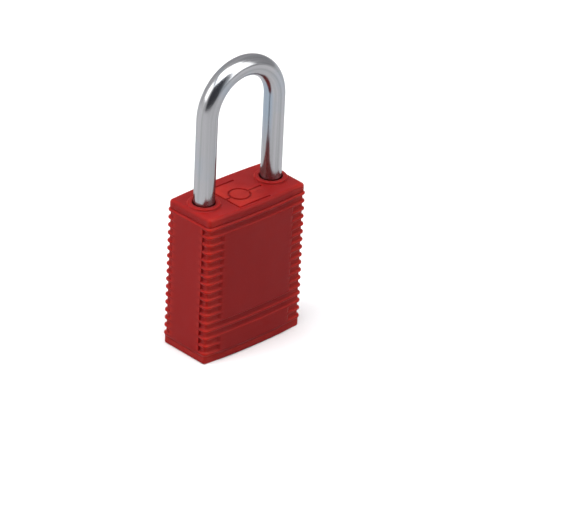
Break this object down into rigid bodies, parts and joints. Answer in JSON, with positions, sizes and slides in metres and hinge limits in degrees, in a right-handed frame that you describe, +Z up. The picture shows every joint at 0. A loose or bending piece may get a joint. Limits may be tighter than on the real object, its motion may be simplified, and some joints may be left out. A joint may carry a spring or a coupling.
{
  "type": "safety padlock",
  "caption": "Lockout padlock: ribbed moulded body, round steel shackle that lifts on a spring, two locking balls, a turning cam and a slider cylinder keyed from below.",
  "frame": {"origin": "centre of the flat underside of the body", "axes": "+Z up through the shackle; X across the broad faces, heel leg at -X and toe leg at +X; the broad faces look along -Y and +Y"},
  "size_m": [0.0384, 0.0198, 0.0913],
  "materials": {
    "red_nylon": "moulded nylon, fine satin texture",
    "plated_steel": "bright plated, smooth satin",
    "ball_steel": "polished",
    "blackened_steel": "blackened",
    "spring_steel": "drawn wire",
    "housing_brass": "turned",
    "plug_brass": "turned, faced end",
    "slider_brass": "stamped"
  },
  "bodies": {
    "body": {"body_shell": "red_nylon", "bottom_cover": "red_nylon", "cover_screw": "blackened_steel", "shackle_spring": "spring_steel", "cylinder_housing": "housing_brass", "front_locking_plate": "blackened_steel", "rear_locking_plate": "blackened_steel", "spacer_sleeve": "housing_brass", "snap_ring": "spring_steel"},
    "shackle": {"shackle": "plated_steel"},
    "plug": {"cylinder_plug": "plug_brass", "locking_cam": "blackened_steel", "slider_spring_1": "spring_steel", "slider_spring_2": "spring_steel", "slider_spring_3": "spring_steel", "slider_spring_4": "spring_steel"},
    "toe_ball": {"toe_locking_ball": "ball_steel"},
    "heel_ball": {"heel_locking_ball": "ball_steel"},
    "slider_1": {"slider_tumbler_1": "slider_brass"},
    "slider_2": {"slider_tumbler_2": "slider_brass"},
    "slider_3": {"slider_tumbler_3": "slider_brass"},
    "slider_4": {"slider_tumbler_4": "slider_brass"}
  },
  "joints": [
    {"name": "shackle_lift", "type": "slide", "parent": "body", "child": "shackle", "axis": [0, 0, 1], "range_m": [0, 0.014], "deforming": ["shackle_spring"]},
    {"name": "plug_turn", "type": "hinge", "parent": "body", "child": "plug", "pos_m": [0, 0, 0.0143], "axis": [0, 0, 1], "range_deg": [0, 90]},
    {"name": "toe_ball_slide", "type": "slide", "parent": "body", "child": "toe_ball", "axis": [1, 0, 0], "range_m": [0, 0.0012]},
    {"name": "heel_ball_slide", "type": "slide", "parent": "body", "child": "heel_ball", "axis": [-1, 0, 0], "range_m": [0, 0.0006]},
    {"name": "slider_1_drop", "type": "slide", "parent": "plug", "child": "slider_1", "axis": [0, 0, -1], "range_m": [0, 0.0016], "deforming": ["slider_spring_1"]},
    {"name": "slider_2_drop", "type": "slide", "parent": "plug", "child": "slider_2", "axis": [0, 0, -1], "range_m": [0, 0.001], "deforming": ["slider_spring_2"]},
    {"name": "slider_3_drop", "type": "slide", "parent": "plug", "child": "slider_3", "axis": [0, 0, -1], "range_m": [0, 0.002], "deforming": ["slider_spring_3"]},
    {"name": "slider_4_drop", "type": "slide", "parent": "plug", "child": "slider_4", "axis": [0, 0, -1], "range_m": [0, 0.0013], "deforming": ["slider_spring_4"]}
  ],
  "couplings": [
    {"joint": "toe_ball_slide", "follows": "plug_turn", "m_per_rad": 0.00076394},
    {"joint": "heel_ball_slide", "follows": "plug_turn", "m_per_rad": 0.00038197},
    {"joint": "slider_2_drop", "follows": "slider_1_drop", "ratio": 0.625},
    {"joint": "slider_3_drop", "follows": "slider_1_drop", "ratio": 1.25},
    {"joint": "slider_4_drop", "follows": "slider_1_drop", "ratio": 0.8125}
  ]
}
